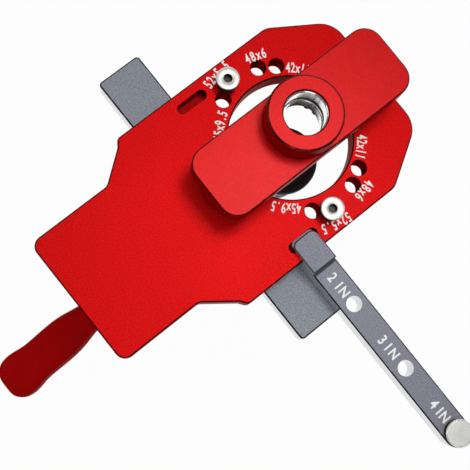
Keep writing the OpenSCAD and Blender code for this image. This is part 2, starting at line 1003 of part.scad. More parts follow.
// lever plate seen from the side, drawn in by a small gap for the grip's pocket
module lever_shape(gap) {
    half = lever_half + gap;
    plan = [
        [half, base_front], [-half, base_front], [-half, lever_bend_start],
        [tail_shift - half, lever_bend_end], [tail_shift - half, tail_end - gap],
        [tail_shift + half, tail_end - gap], [tail_shift + half, lever_bend_end + lever_bend_step],
        [half, lever_bend_start + lever_bend_step]
    ];
    profile = rounded([
        [handle_pivot.x + arm_elbow_r, tail_z - tail_half - gap, arm_elbow_r],
        [handle_pivot.x + arm_elbow_r, handle_pivot.y + 2, 3],
        [link_end.x - 1, link_end.y + 8.3, arm_elbow_r], [-72, tail_z + tail_half + gap, 8],
        [tail_end - gap, tail_z + tail_half + gap, 3.8], [tail_end - gap, tail_z - tail_half - gap, 3.8]
    ]);
    intersection() {
        side_sheet(profile, -lever_reach, lever_reach);
        translate([clamp_x, 0, bar_bottom - bar_h])
            linear_extrude(bar_h - bar_bottom)
                polygon(plan);
    }
}

// cranked steel lever whose tail sits in the grip
module handle_lever() {
    color(zinc)
    difference() {
        lever_shape(0);
        cross_bar(handle_pivot, rivet_r + rivet_gap, -lever_reach, lever_reach);
        cross_bar(link_end, rivet_r + rivet_gap, -lever_reach, lever_reach);
    }
}

// half width and half thickness of the grip along Y, as [y, half width, half thickness]
grip_rings = [
    [grip_start, 0.3 * grip_w, 0.41 * grip_t],
    [grip_start - 0.5, 0.33 * grip_w, 0.44 * grip_t],
    [-83, 0.36 * grip_w, 0.45 * grip_t],
    [-86, 0.4 * grip_w, 0.46 * grip_t],
    [-90, 0.46 * grip_w, 0.48 * grip_t],
    [-94, 0.5 * grip_w, 0.5 * grip_t],
    [-100, 0.5 * grip_w, 0.5 * grip_t],
    [-106, 0.5 * grip_w, 0.5 * grip_t],
    [-110, 0.525 * grip_w, 0.5 * grip_t],
    [-113.5, 0.555 * grip_w, 0.5 * grip_t],
    [-116, 0.545 * grip_w, 0.49 * grip_t],
    [-118, 0.49 * grip_w, 0.45 * grip_t],
    [-119.5, 0.4 * grip_w, 0.38 * grip_t],
    [-120.4, 0.28 * grip_w, 0.27 * grip_t],
    [grip_end, 0.14 * grip_w, 0.14 * grip_t]
];
ring_sides = 32;

// draws a circle's sine or cosine out towards a rounded square
function bulge(a) = sign(a) * pow(abs(a), 0.72);

// soft grip with flattened sides and a swollen end
module handle_grip() {
    n = ring_sides;
    last = len(grip_rings) - 1;
    points = [
        for (r = grip_rings, i = [0:n - 1])
            let (lean = neck_shift * (r[0] - grip_end) / (grip_start - grip_end),
                 turn = i * 360 / n)
            [clamp_x + tail_shift + lean + r[1] * bulge(cos(turn)), r[0], tail_z + r[2] * bulge(sin(turn))]
    ];
    sides = [
        for (k = [0:last - 1], i = [0:n - 1])
            [k * n + i, k * n + (i + 1) % n, (k + 1) * n + (i + 1) % n, (k + 1) * n + i]
    ];
    color(grip_red)
    difference() {
        polyhedron(
            points = points,
            faces = concat([[for (i = [n - 1:-1:0]) i]], sides, [[for (i = [0:n - 1]) last * n + i]])
        );
        lever_shape(2 * touch);
    }
}

// pair of straight links beside the lever
module toggle_links() {
    run = link_end - link_pivot;
    reach = norm(run);
    color(zinc)
    for (side = [-1, 1])
        difference() {
            translate([clamp_x + (side < 0 ? -link_out : link_in), link_pivot.x, link_pivot.y])
                rotate([atan2(run.y, run.x), 0, 0])
                    rotate([90, 0, 90])
                        linear_extrude(link_out - link_in)
                            union() {
                                circle(r = link_r);
                                translate([reach, 0])
                                    circle(r = link_r);
                                translate([0, -link_r])
                                    square([reach, 2 * link_r]);
                            }
            cross_bar(link_pivot, rivet_r + rivet_gap, -lever_reach, lever_reach);
            cross_bar(link_end, rivet_r + rivet_gap, -lever_reach, lever_reach);
        }
}

// short rivets in the links' free ends
module link_end_rivets() {
    color(zinc)
    short_rivets(link_end, link_out, 3.4, 0.2);
}

main_plate();
bridge();
rear_bridge_post();
front_bridge_post();
bridge_screws();
upper_bearing_outer_ring();
upper_bearing_balls();
upper_bearing_cage();
upper_bearing_inner_ring();
lower_bearing_outer_ring();
lower_bearing_balls();
lower_bearing_cage();
lower_bearing_inner_ring();
bearing_shields();
bearing_spacer();
bearing_circlip();
fence_bar();
fence_screws();
fence_washers();
stop_arm();
stop_pin();
left_bush();
right_bush();
clamp_base_left();
clamp_base_right();
clamp_base_screws();
clamp_arm();
arm_pivot_rivet();
spindle_nuts();
spindle_washers();
pad_spindle();
rubber_pad();
handle_lever();
handle_grip();
handle_pivot_rivet();
toggle_links();
link_pivot_rivets();
link_end_rivets();
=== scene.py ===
import json
import math

import bmesh
import bpy
from mathutils import Matrix, Vector

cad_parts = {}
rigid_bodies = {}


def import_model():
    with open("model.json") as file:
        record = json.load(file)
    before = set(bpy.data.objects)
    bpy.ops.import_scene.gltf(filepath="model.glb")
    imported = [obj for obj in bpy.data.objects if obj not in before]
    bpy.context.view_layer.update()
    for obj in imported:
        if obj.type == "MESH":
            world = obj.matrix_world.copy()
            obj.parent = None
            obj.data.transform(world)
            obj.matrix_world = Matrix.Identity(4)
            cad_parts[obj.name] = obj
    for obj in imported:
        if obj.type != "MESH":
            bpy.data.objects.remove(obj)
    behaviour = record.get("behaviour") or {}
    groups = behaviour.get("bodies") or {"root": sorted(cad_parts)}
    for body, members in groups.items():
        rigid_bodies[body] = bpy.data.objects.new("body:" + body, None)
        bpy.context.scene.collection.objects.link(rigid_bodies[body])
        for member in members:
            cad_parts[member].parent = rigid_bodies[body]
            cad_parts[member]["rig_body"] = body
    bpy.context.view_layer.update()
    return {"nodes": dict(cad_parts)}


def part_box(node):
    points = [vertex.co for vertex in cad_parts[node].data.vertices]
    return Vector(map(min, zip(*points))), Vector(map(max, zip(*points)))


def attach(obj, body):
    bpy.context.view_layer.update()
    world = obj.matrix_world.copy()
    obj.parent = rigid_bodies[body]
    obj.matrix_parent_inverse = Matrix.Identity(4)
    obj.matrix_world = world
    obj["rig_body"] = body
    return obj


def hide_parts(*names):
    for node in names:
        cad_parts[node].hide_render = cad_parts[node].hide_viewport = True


bl_info = {
    "name": "Hinge boring jig",
    "version": (1, 0, 0),
    "blender": (4, 5, 0),
    "location": "3D View > Sidebar > Hinge Jig",
    "description": "Finishes a clamp-on jig for boring cup hinges: metals, marks, threads, "
                   "knurls and grip",
    "category": "Object",
}

MM = 0.001
MM_IN_METRE = 1000.0

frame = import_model()
cad_nodes = frame["nodes"]

# Places in the jig's own frame, in millimetres
PLATE_TOP = 8.0
POCKET_BELOW = PLATE_TOP - 1
CLAMP_X = 2.0
FLOOR_Z = -82.0
PIN_PLACE = (104.1, -17.8)
BUSH_PLACES = {"left": (-26.0, -5.5), "right": (26.0, -5.5)}
PATTERN_HOLES = ((22.5, -9.5), (26.0, -5.5), (24.0, 6.0), (21.0, 11.0))

# Distances within which points are merged, in metres
CAD_MERGE = 0.000015
THREAD_MERGE = 0.00002
FINE_MERGE = 0.0000005

# Angles between faces, in degrees: a flat's at most, and a sharp edge's at least
FLAT_ANGLE = 0.05
SHARP_ANGLE = 24.0

# The upright part of a face's normal: a flank's and a round wall's at most, and a flat's at least
FLANK_BELOW = 0.3
WALL_BELOW = 0.5
FLAT_ABOVE = 0.95
POCKET_SHADE = 0.75  # how much of the flank colour a pocket's floor gets: painted shade on the red plate

# Reach of round walls with a darker finish of their own, painted shade, from their centre, in
# millimetres
PATTERN_SHADED_WALL = 2.7
PIN_SHADED_WALL = 5.0

# Figures: half their thickness in millimetres, and a capital's share of the font's size
INK_HALF = 0.012
CAPITAL_SHARE = 0.72
# Hinge patterns beside their holes: text, outer radius, middle angle and step angle
PATTERN_FIGURES = (
    ("48x6", 28.9, 15.7, 3.7),
    ("52x5.5", 31.2, -11.3, 3.2),
    ("42x11", 23.0, 44.8, 4.0),
    ("45x9.5", 23.0, -43.0, 4.05),
)
# Distance marks on the arm: figure and place along the arm
ARM_FIGURES = (
    ("2", 42.6), ("I", 45.9), ("N", 48.5), ("3", 67.4), ("I", 70.2), ("N", 73.0),
    ("4", 92.7), ("I", 95.4), ("N", 97.8),
)
HEAD_ABOVE = PLATE_TOP + 0.02  # the arm's head stands above this height
# The head's edges get only this share of the arm's painted edge shade.
HEAD_EDGE = 0.5  # how dark the head's edges are beside the arm's

SPIN_STEPS = 96  # faces round a turned piece

# Half outline of a drill bush: radius and height, from its foot round its head and down its bore
BUSH_TOP = PLATE_TOP + 6.4
BUSH_BORE = 1.35
BUSH_OUTLINE = (
    (BUSH_BORE, 0.55), (2.0, 0.5), (2.46, 1.0), (2.46, 8.05), (2.9, 8.06), (2.95, 8.2),
    (2.95, 12.2), (3.0, 12.4), (3.55, 12.4), (3.7, 12.5), (3.75, 12.65), (3.75, BUSH_TOP - 0.42),
    (3.71, BUSH_TOP - 0.2), (3.58, BUSH_TOP - 0.05), (3.4, BUSH_TOP), (1.52, BUSH_TOP),
    (1.45, BUSH_TOP - 0.03), (1.38, BUSH_TOP - 0.12), (BUSH_BORE, BUSH_TOP - 0.2),
    (BUSH_BORE, 0.55),
)
BORE_WALL = 1.40  # faces within this radius line the bore
KNURL_RADIUS = 3.1
KNURL_VALLEY = 0.93  # share of the radius
KNURL_FOOT = 8.35
KNURL_HEIGHT = 3.8
SHADED_WALL_ABOVE = PLATE_TOP + 0.2  # walls above this height, the head's side as well as the knurled neck, get the dark steel: painted shade

# Spindle thread: a tooth as root (0) or crest (1) and share of the pitch; sizes in millimetres
THREAD_TOOTH = ((0, 0.0), (0, 0.14), (1, 0.46), (1, 0.58), (0, 0.9), (0, 1.0))
THREAD_DEPTH = 0.55  # share of the pitch
THREAD_STEPS = 40
THREAD_CHAMFER = 0.9
SHANK_LENGTH = 4.6  # plain part above the thread
SHANK_OVERLAP = 0.4  # how far it reaches down into the thread
SHANK_CHAMFER = 0.6
SHANK_INSET = 0.02

# Grooves round the rubber pad's upper face
GROOVE_DEPTH = 0.35
GROOVE_RADII = (4.9, 7.3, 9.7)

# Grip: place along the lever, half width and half thickness of each ring from neck to end
GRIP_RINGS = (
    (-79.5, 4.2, 4.9), (-79.9, 4.75, 5.45), (-81.2, 5.0, 5.6), (-84.0, 5.4, 5.65),
    (-87.5, 6.1, 5.8), (-91.5, 7.1, 6.05), (-95.5, 7.5, 6.2), (-101.0, 7.45, 6.2),
    (-106.0, 7.25, 6.2), (-109.0, 7.4, 6.2), (-112.0, 8.15, 6.22), (-115.2, 8.2, 6.15),
    (-117.8, 7.4, 5.7), (-119.6, 5.8, 4.7), (-120.6, 4.0, 3.2), (-120.95, 1.9, 1.6),
)
GRIP_X = 3.5
GRIP_Z = -36.0
GRIP_SPAN = (-120.8, -79.5)  # end and neck
GRIP_SHIFT = (0.25, -1.45)  # sideways at the end and at the neck
GRIP_FLATTENING = 0.76  # power of an ellipse's sine and cosine, 1 for a plain ellipse
GRIP_STEPS = 40

# Stage, in metres: each lamp's place and size, the floor, and the camera in millimetres and degrees
LAMP_AIM = (0.0, -0.02, 0.0)
KEY_LAMP = ((-0.01, 0.17, 0.85), 0.22)
OVERHEAD_LAMP = ((0.0, -0.30, 0.95), 0.90)
SIDE_LAMPS = (
    ("Left rear", -1, -1), ("Right rear", 1, -1), ("Right front", 1, 1), ("Left front", -1, 1),
)
SIDE_REACH = 0.75
SIDE_HEIGHT = 0.6
SIDE_SIZE = 0.70
FLOOR_RADIUS = 3.0
FLOOR_GLOW = 0.97  # how much of the floor that the camera sees shines by itself
CAMERA_PLACE = (30.229, -83.570, 314.353)
CAMERA_TURN = (8.2002, -5.3114, 51.2677)

# A Mix node's sockets for colours, by number
MIX_FACTOR, MIX_A, MIX_B, MIX_RESULT = 0, 6, 7, 2


class JigColours(bpy.types.PropertyGroup):
    """Colours of the jig's finishes"""

    plate: bpy.props.FloatVectorProperty(
        name="Anodised red",
        description="Colour of the base plate, bridge, boss and posts",
        subtype="COLOR", size=3, min=0, max=1, default=(0.64, 0.0055, 0.0060))
    grey: bpy.props.FloatVectorProperty(
        name="Anodised grey",
        description="Colour of the fence bar and stop arm",
        subtype="COLOR", size=3, min=0, max=1, default=(0.297, 0.316, 0.361))
    steel: bpy.props.FloatVectorProperty(
        name="Turned steel",
        description="Colour of the stop pin and drill bushes",
        subtype="COLOR", size=3, min=0, max=1, default=(0.92, 0.91, 0.86))
    zinc: bpy.props.FloatVectorProperty(
        name="Zinc plate",
        description="Colour of the clamp's pressed steel and screws",
        subtype="COLOR", size=3, min=0, max=1, default=(0.58, 0.60, 0.62))
    rubber: bpy.props.FloatVectorProperty(
        name="Rubber",
        description="Colour of the clamp pad",
        subtype="COLOR", size=3, min=0, max=1, default=(0.012, 0.010, 0.016))
    vinyl: bpy.props.FloatVectorProperty(
        name="Dipped vinyl",
        description="Colour of the lever's grip",
        subtype="COLOR", size=3, min=0, max=1, default=(0.39, 0.0012, 0.0018))
    ink: bpy.props.FloatVectorProperty(
        name="Marking",
        description="Colour of the lasered figures",
        subtype="COLOR", size=3, min=0, max=1, default=(0.97, 0.97, 0.96))


class JigDetail(bpy.types.PropertyGroup):
    """Sizes of the jig's fine detail"""

    edge_break: bpy.props.FloatProperty(
        name="Edge break",
        description="Width of the small round on machined edges, in millimetres",
        default=0.11, min=0.02, max=0.4)
    blast_size: bpy.props.FloatProperty(
        name="Blast grain",
        description="Size of the bead-blasted grain, in millimetres",
        default=0.42, min=0.05, max=1.0)
    thread_pitch: bpy.props.FloatProperty(
        name="Thread pitch",
        description="Pitch of the pad spindle's thread, in millimetres",
        default=1.25, min=0.5, max=2.0)
    knurl_teeth: bpy.props.IntProperty(
        name="Knurl teeth",
        description="Number of teeth round a drill bush",
        default=40, min=12, max=80)
    ring_figure_height: bpy.props.FloatProperty(
        name="Plate figures",
        description="Height of the hinge pattern figures on the plate, in millimetres",
        default=3.3, min=1.0, max=6.0)
    arm_figure_height: bpy.props.FloatProperty(
        name="Arm figures",
        description="Height of the distance marks on the stop arm, in millimetres",
        default=3.3, min=1.0, max=6.0)


class JigStage(bpy.types.PropertyGroup):
    """Studio light and camera"""

    key_power: bpy.props.FloatProperty(
        name="Key light",
        description="Power of the key lamp, in watts",
        default=1.05, min=0)
    fill_power: bpy.props.FloatProperty(
        name="Overhead light",
        description="Power of the wide overhead lamp, in watts",
        default=1.8, min=0)
    side_power: bpy.props.FloatProperty(
        name="Side lights",
        description="Power of each of the four side lamps, in watts",
        default=1.7, min=0)
    sky: bpy.props.FloatProperty(
        name="Sky",
        description="Strength of the even light from all round",
        default=0.18, min=0)
    lens: bpy.props.FloatProperty(
        name="Lens",
        description="Focal length of the camera",
        subtype="DISTANCE_CAMERA", default=76.6, min=20)


def colours():
    return bpy.context.scene.jig_colours


def detail():
    return bpy.context.scene.jig_detail


# Nodes


def feed(tree, value, slot):
    """Links a socket to a slot, or sets the slot to a constant."""
    if isinstance(value, bpy.types.NodeSocket):
        tree.links.new(value, slot)
    else:
        slot.default_value = value


def fill(tree, made, **values):
    """Feeds a node's inputs, each given by its name with _ for a space, or by i and its number."""
    for key, value in values.items():
        numbered = key[0] == "i" and key[1:].isdigit()
        feed(tree, value, made.inputs[int(key[1:]) if numbered else key.replace("_", " ")])
    return made


def node(tree, kind, settings=None, **values):
    """Adds a node with settings of its own and feeds its inputs."""
    made = tree.nodes.new(kind)
    for key, value in (settings or {}).items():
        setattr(made, key, value)
    return fill(tree, made, **values)


def math_node(tree, operation, *values, clamp=False):
    made = node(tree, "ShaderNodeMath", {"operation": operation, "use_clamp": clamp})
    for slot, value in zip(made.inputs, values):
        feed(tree, value, slot)
    return made.outputs[0]


def times(tree, first, second):
    return math_node(tree, "MULTIPLY", first, second)


def ranged(tree, mask, low, span, clamp=False):
    """A value that is low where the mask is 0, and low + span where it is 1."""
    return math_node(tree, "ADD", low, times(tree, mask, span), clamp=clamp)


def mix_colour(tree, factor, a, b, blend="MIX"):
    made = node(tree, "ShaderNodeMix", {"data_type": "RGBA", "blend_type": blend})
    for slot, value in ((MIX_FACTOR, factor), (MIX_A, a), (MIX_B, b)):
        feed(tree, value, made.inputs[slot])
    return made.outputs[MIX_RESULT]


def stepped(tree, point, size):
    """A point counted in steps of a size in millimetres."""
    if isinstance(size, bpy.types.NodeSocket):
        scale = math_node(tree, "DIVIDE", MM_IN_METRE, size)
    else:
        scale = MM_IN_METRE / size
    scaled = node(tree, "ShaderNodeVectorMath", {"operation": "SCALE"}, i0=point, Scale=scale)
    return scaled.outputs[0]


def object_point(tree, size):
    """Object coordinates in steps of a size in millimetres."""
    coordinates = tree.nodes.new("ShaderNodeTexCoord")
    return stepped(tree, coordinates.outputs["Object"], size)


def noise_at(tree, point, **values):
    return node(tree, "ShaderNodeTexNoise", Vector=point, Scale=1.0, **values).outputs["Fac"]


# Shader groups


def group_tree(name, inputs, outputs):
    """Starts a group with inputs of a name, kind and default, and outputs of a name and kind."""
    tree = bpy.data.node_groups.new(name, "ShaderNodeTree")
    sockets = tree.interface
    for label, kind, default in inputs:
        made = sockets.new_socket(name=label, in_out="INPUT", socket_type=kind)
        made.default_value = default
    for label, kind in outputs:
        sockets.new_socket(name=label, in_out="OUTPUT", socket_type=kind)
    start, end = tree.nodes.new("NodeGroupInput"), tree.nodes.new("NodeGroupOutput")
    return tree, start.outputs, end


def blasted_group(name):
    """Bead-blasted surface: fine pits and a slight sparkle of lighter and darker grains."""
    tree, given, end = group_tree(
        name,
        [("Grain", "NodeSocketFloat", 0.2), ("Sparkle", "NodeSocketFloat", 0.1)],
        [("Height", "NodeSocketFloat"), ("Tone", "NodeSocketFloat")])
    point = object_point(tree, given["Grain"])
    noise = noise_at(tree, point, Detail=2.0, Roughness=0.65)
    pits = node(tree, "ShaderNodeTexVoronoi", Vector=point, Scale=0.8).outputs["Distance"]
    height = math_node(tree, "ADD", times(tree, noise, 0.7), times(tree, pits, 0.3))
    centred = math_node(tree, "SUBTRACT", noise, 0.5)
    spread = times(tree, given["Sparkle"], 4.0)
    fill(tree, end, Height=height, Tone=ranged(tree, centred, low=1.0, span=spread))


def handled_group(name):
    """Broad uneven patches that handling and anodising leave: a mask from 0 to 1."""
    tree, given, end = group_tree(
        name,
        [("Patch", "NodeSocketFloat", 20.0), ("Contrast", "NodeSocketFloat", 1.0)],
        [("Mask", "NodeSocketFloat")])
    noise = noise_at(tree, object_point(tree, given["Patch"]), Detail=3.0, Roughness=0.55)
    centred = math_node(tree, "SUBTRACT", noise, 0.5)
    fill(tree, end,
         Mask=ranged(tree, centred, low=0.5, span=given["Contrast"], clamp=True))


def edge_wear_and_shade_group(name):
    """Mask on broken edges, eaten into by noise: real wear on zinc plate, painted shade on the
    anodised parts.
    """
    tree, given, end = group_tree(
        name,
        [("Edge", "NodeSocketFloat", 0.0), ("Amount", "NodeSocketFloat", 0.5)],
        [("Mask", "NodeSocketFloat")])
    noise = noise_at(tree, object_point(tree, 2.2), Detail=3.0, Roughness=0.6)
    above = math_node(tree, "SUBTRACT", noise, 0.2)
    ragged = math_node(tree, "MULTIPLY", above, 4.0, clamp=True)
    fill(tree, end, Mask=times(tree, times(tree, given["Edge"], ragged), given["Amount"]))


def turned_group(name):
    """Fine rings that a lathe tool leaves round an upright axis."""
    tree, given, end = group_tree(
        name,
        [("Axis", "NodeSocketVector", (0.0, 0.0, 0.0)), ("Feed", "NodeSocketFloat", 0.12)],
        [("Height", "NodeSocketFloat"), ("Tone", "NodeSocketFloat")])
    coordinates = tree.nodes.new("ShaderNodeTexCoord")
    shifted = node(tree, "ShaderNodeVectorMath", {"operation": "SUBTRACT"},
                   i0=coordinates.outputs["Object"], i1=given["Axis"])
    rings = node(tree, "ShaderNodeTexWave", {"wave_type": "RINGS", "rings_direction": "Z"},
                 Vector=stepped(tree, shifted.outputs[0], given["Feed"]),
                 Scale=0.314, Distortion=0.6, Detail=1.0)
    broad = noise_at(tree, object_point(tree, 1.6), Detail=2.0)
    fill(tree, end,
         Height=rings.outputs["Fac"],
         Tone=ranged(tree, broad, low=0.86, span=0.28))


def rolled_group(name):
    """Rolled and plated sheet: long faint streaks with a soft mottle."""
    tree, given, end = group_tree(
        name,
        [("Streak", "NodeSocketFloat", 0.25)],
        [("Height", "NodeSocketFloat"), ("Tone", "NodeSocketFloat")])
    stretched = node(tree, "ShaderNodeMapping", Vector=object_point(tree, given["Streak"]),
                     Scale=(1.0, 0.06, 1.0))
    streaks = noise_at(tree, stretched.outputs[0], Detail=3.0, Roughness=0.6)
    mottle = node(tree, "ShaderNodeTexVoronoi", Vector=object_point(tree, 2.4), Scale=1.0)
    tone = ranged(tree, streaks, low=0.82, span=0.24)
    tone = math_node(tree, "ADD", tone, times(tree, mottle.outputs["Distance"], 0.1))
    fill(tree, end, Height=streaks, Tone=tone)


GROUP_MAKERS = {
    "Blasted grain": blasted_group,
    "Handled patches": handled_group,
    "Edge wear and shade": edge_wear_and_shade_group,
    "Turned rings": turned_group,
    "Rolled sheet": rolled_group,
}


def use_group(tree, name, **values):
    """Adds a shared group, made at its first use, and returns its outputs."""
    if name not in bpy.data.node_groups:
        GROUP_MAKERS[name](name)
    made = node(tree, "ShaderNodeGroup", {"node_tree": bpy.data.node_groups[name]}, **values)
    return made.outputs


# Finishes


def new_finish(name):
    material = bpy.data.materials.new(name)
    material.use_nodes = True
    tree = material.node_tree
    return material, tree, tree.nodes["Principled BSDF"]


def rgba(colour):
    return (colour[0], colour[1], colour[2], 1.0)


def tinted(colour, *factors):
    return [part * factor for part, factor in zip(colour, factors)]


def toned(tree, colour, tone):
    """The colour multiplied by a tone that varies round 1."""
    grey = node(tree, "ShaderNodeCombineColor", i0=tone, i1=tone, i2=tone)
    return mix_colour(tree, 1.0, colour, grey.outputs[0], "MULTIPLY")


def face_mask(tree, name):
    """A value that dress() has written on the piece's faces."""
    return node(tree, "ShaderNodeAttribute", {"attribute_name": name}).outputs["Fac"]


def bumped(tree, shader, height, distance, strength):
    """Raises the surface by a height, over a distance in millimetres."""
    bump = node(tree, "ShaderNodeBump", Height=height, Distance=distance * MM, Strength=strength)
    tree.links.new(bump.outputs[0], shader.inputs["Normal"])


def anodised(name, colour, edge_shade_colour, flank_colour, flank_rough, flank_metal, sparkle,
             graze=(1.0, 1.0, 1.0, 1.0), coat=0.0, skin_rough=0.47, skin_metal=0.85):
    """Bead-blasted aluminium under a dyed skin, with chamfers darkened as painted shade, and milled
    flanks in a colour of their own, which on the red parts is a painted shade.

    graze tints what it mirrors at a flat angle.
    """
    material, tree, shader = new_finish(name)
    grain = use_group(tree, "Blasted grain", Grain=detail().blast_size, Sparkle=sparkle)
    patches = use_group(tree, "Handled patches", Patch=24.0, Contrast=1.6)["Mask"]
    flank = face_mask(tree, "flank")
    worn = use_group(tree, "Edge wear and shade", Edge=face_mask(tree, "broken_edge"), Amount=1.0)
    base = toned(tree, rgba(colour), grain["Tone"])
    base = toned(tree, base, ranged(tree, patches, low=0.95, span=0.1))
    # Flanks and pocket floors take the flank colour; on the red parts it is a dark one, painted
    # shade.
    base = mix_colour(tree, flank, base, rgba(flank_colour))
    rough = ranged(tree, patches, low=skin_rough, span=0.08)
    patch_rough = 0.03  # what the patches add on a flank, about
    smoother = times(tree, flank, flank_rough - skin_rough - patch_rough)
    fill(tree, shader,
         # Broken edges take the dark edge colour: painted shade on the chamfers.
         Base_Color=mix_colour(tree, worn["Mask"], base, rgba(edge_shade_colour)),
         Roughness=math_node(tree, "ADD", rough, smoother),
         Metallic=ranged(tree, flank, low=skin_metal, span=flank_metal - skin_metal),
         Specular_Tint=graze)
    if coat > 0:
        skin = math_node(tree, "SUBTRACT", 1.0, flank)
        fill(tree, shader, Coat_Weight=times(tree, skin, coat), Coat_Roughness=0.26)
    bumped(tree, shader, grain["Height"], distance=0.012, strength=0.6)
    return material


def turned_steel(name, colour, centre, rough=0.32):
    """Bright turned steel with tool rings round an upright axis."""
    material, tree, shader = new_finish(name)
    rings = use_group(tree, "Turned rings", Axis=Vector((*centre, 0.0)) * MM, Feed=0.16)
    patches = use_group(tree, "Handled patches", Patch=5.0, Contrast=1.4)["Mask"]
    fill(tree, shader,
         Base_Color=toned(tree, rgba(colour), rings["Tone"]),
         Roughness=ranged(tree, patches, low=rough - 0.05, span=0.12),
         Metallic=0.6)
    bumped(tree, shader, rings["Height"], distance=0.004, strength=0.35)
    return material


def plated_sheet(name, colour, rough=0.34):
    """Zinc-plated pressed steel."""
    material, tree, shader = new_finish(name)
    sheet = use_group(tree, "Rolled sheet", Streak=0.3)
    patches = use_group(tree, "Handled patches", Patch=9.0, Contrast=1.8)["Mask"]
    worn = use_group(tree, "Edge wear and shade", Edge=face_mask(tree, "broken_edge"), Amount=0.6)
    base = toned(tree, rgba(colour), sheet["Tone"])
    fill(tree, shader,
         Base_Color=mix_colour(tree, worn["Mask"], base, (0.8, 0.8, 0.79, 1)),
         Roughness=ranged(tree, patches, low=rough - 0.08, span=0.18),
         Metallic=0.85)
    bumped(tree, shader, sheet["Height"], distance=0.01, strength=0.5)
    return material


def polished_steel(name, colour, rough, graze=(1.0, 1.0, 1.0, 1.0)):
    """Ground and polished steel; graze tints what it mirrors at a flat angle."""
    material, tree, shader = new_finish(name)
    patches = use_group(tree, "Handled patches", Patch=3.0, Contrast=1.5)["Mask"]
    sheet = use_group(tree, "Rolled sheet", Streak=0.08)
    fill(tree, shader,
         Base_Color=toned(tree, rgba(colour), sheet["Tone"]),
         Roughness=ranged(tree, patches, low=rough, span=0.08),
         Metallic=1.0,
         Specular_Tint=graze)
    return material


def blackened_steel(name):
    """Blackened spring steel."""
    material, tree, shader = new_finish(name)
    patches = use_group(tree, "Handled patches", Patch=1.5, Contrast=1.6)["Mask"]
    dark, worn = (0.012, 0.012, 0.014, 1), (0.05, 0.048, 0.045, 1)
    fill(tree, shader,
         Base_Color=mix_colour(tree, patches, dark, worn),
         Roughness=0.42,
         Specular_IOR_Level=0.15)
    return material


def moulded_rubber(name, colour):
    """Matt moulded rubber with a dusty bloom."""
    material, tree, shader = new_finish(name)
    grain = use_group(tree, "Blasted grain", Grain=0.35, Sparkle=0.12)
    bloom = use_group(tree, "Handled patches", Patch=7.0, Contrast=1.8)["Mask"]
    base = toned(tree, rgba(colour), grain["Tone"])
    fill(tree, shader,
         Base_Color=mix_colour(tree, times(tree, bloom, 0.03), base, (0.12, 0.11, 0.12, 1)),
         Roughness=ranged(tree, bloom, low=0.62, span=0.18),
         Specular_IOR_Level=0.3)
    bumped(tree, shader, grain["Height"], distance=0.03, strength=0.6)
    return material


def dipped_vinyl(name, colour):
    """Soft glossy vinyl, dipped, with a faint orange-peel skin."""
    material, tree, shader = new_finish(name)
    peel = noise_at(tree, object_point(tree, 1.3), Detail=2.0, Roughness=0.5)
    sag = use_group(tree, "Handled patches", Patch=12.0, Contrast=1.5)["Mask"]
    dark, light = (rgba(tinted(colour, share, share, share)) for share in (0.85, 1.15))
    fill(tree, shader,
         Base_Color=mix_colour(tree, sag, dark, light),
         Roughness=ranged(tree, sag, low=0.5, span=0.16),
         Specular_IOR_Level=0.02)
    bumped(tree, shader, peel, distance=0.05, strength=0.4)
    return material


def marking_ink(name, colour):
    """Lasered white marking, a little uneven, with a faint painted glow."""
    material, tree, shader = new_finish(name)
    grain = use_group(tree, "Blasted grain", Grain=0.14, Sparkle=0.06)
    fill(tree, shader,
         Base_Color=toned(tree, rgba(colour), grain["Tone"]),
         Metallic=0.3,
         Roughness=0.55,
         # Faint glow: painted light on marking that is no lamp.
         Emission_Color=rgba(colour),
         Emission_Strength=0.15)
    bumped(tree, shader, grain["Height"], distance=0.01, strength=0.4)
    return material


FINISHES = {}


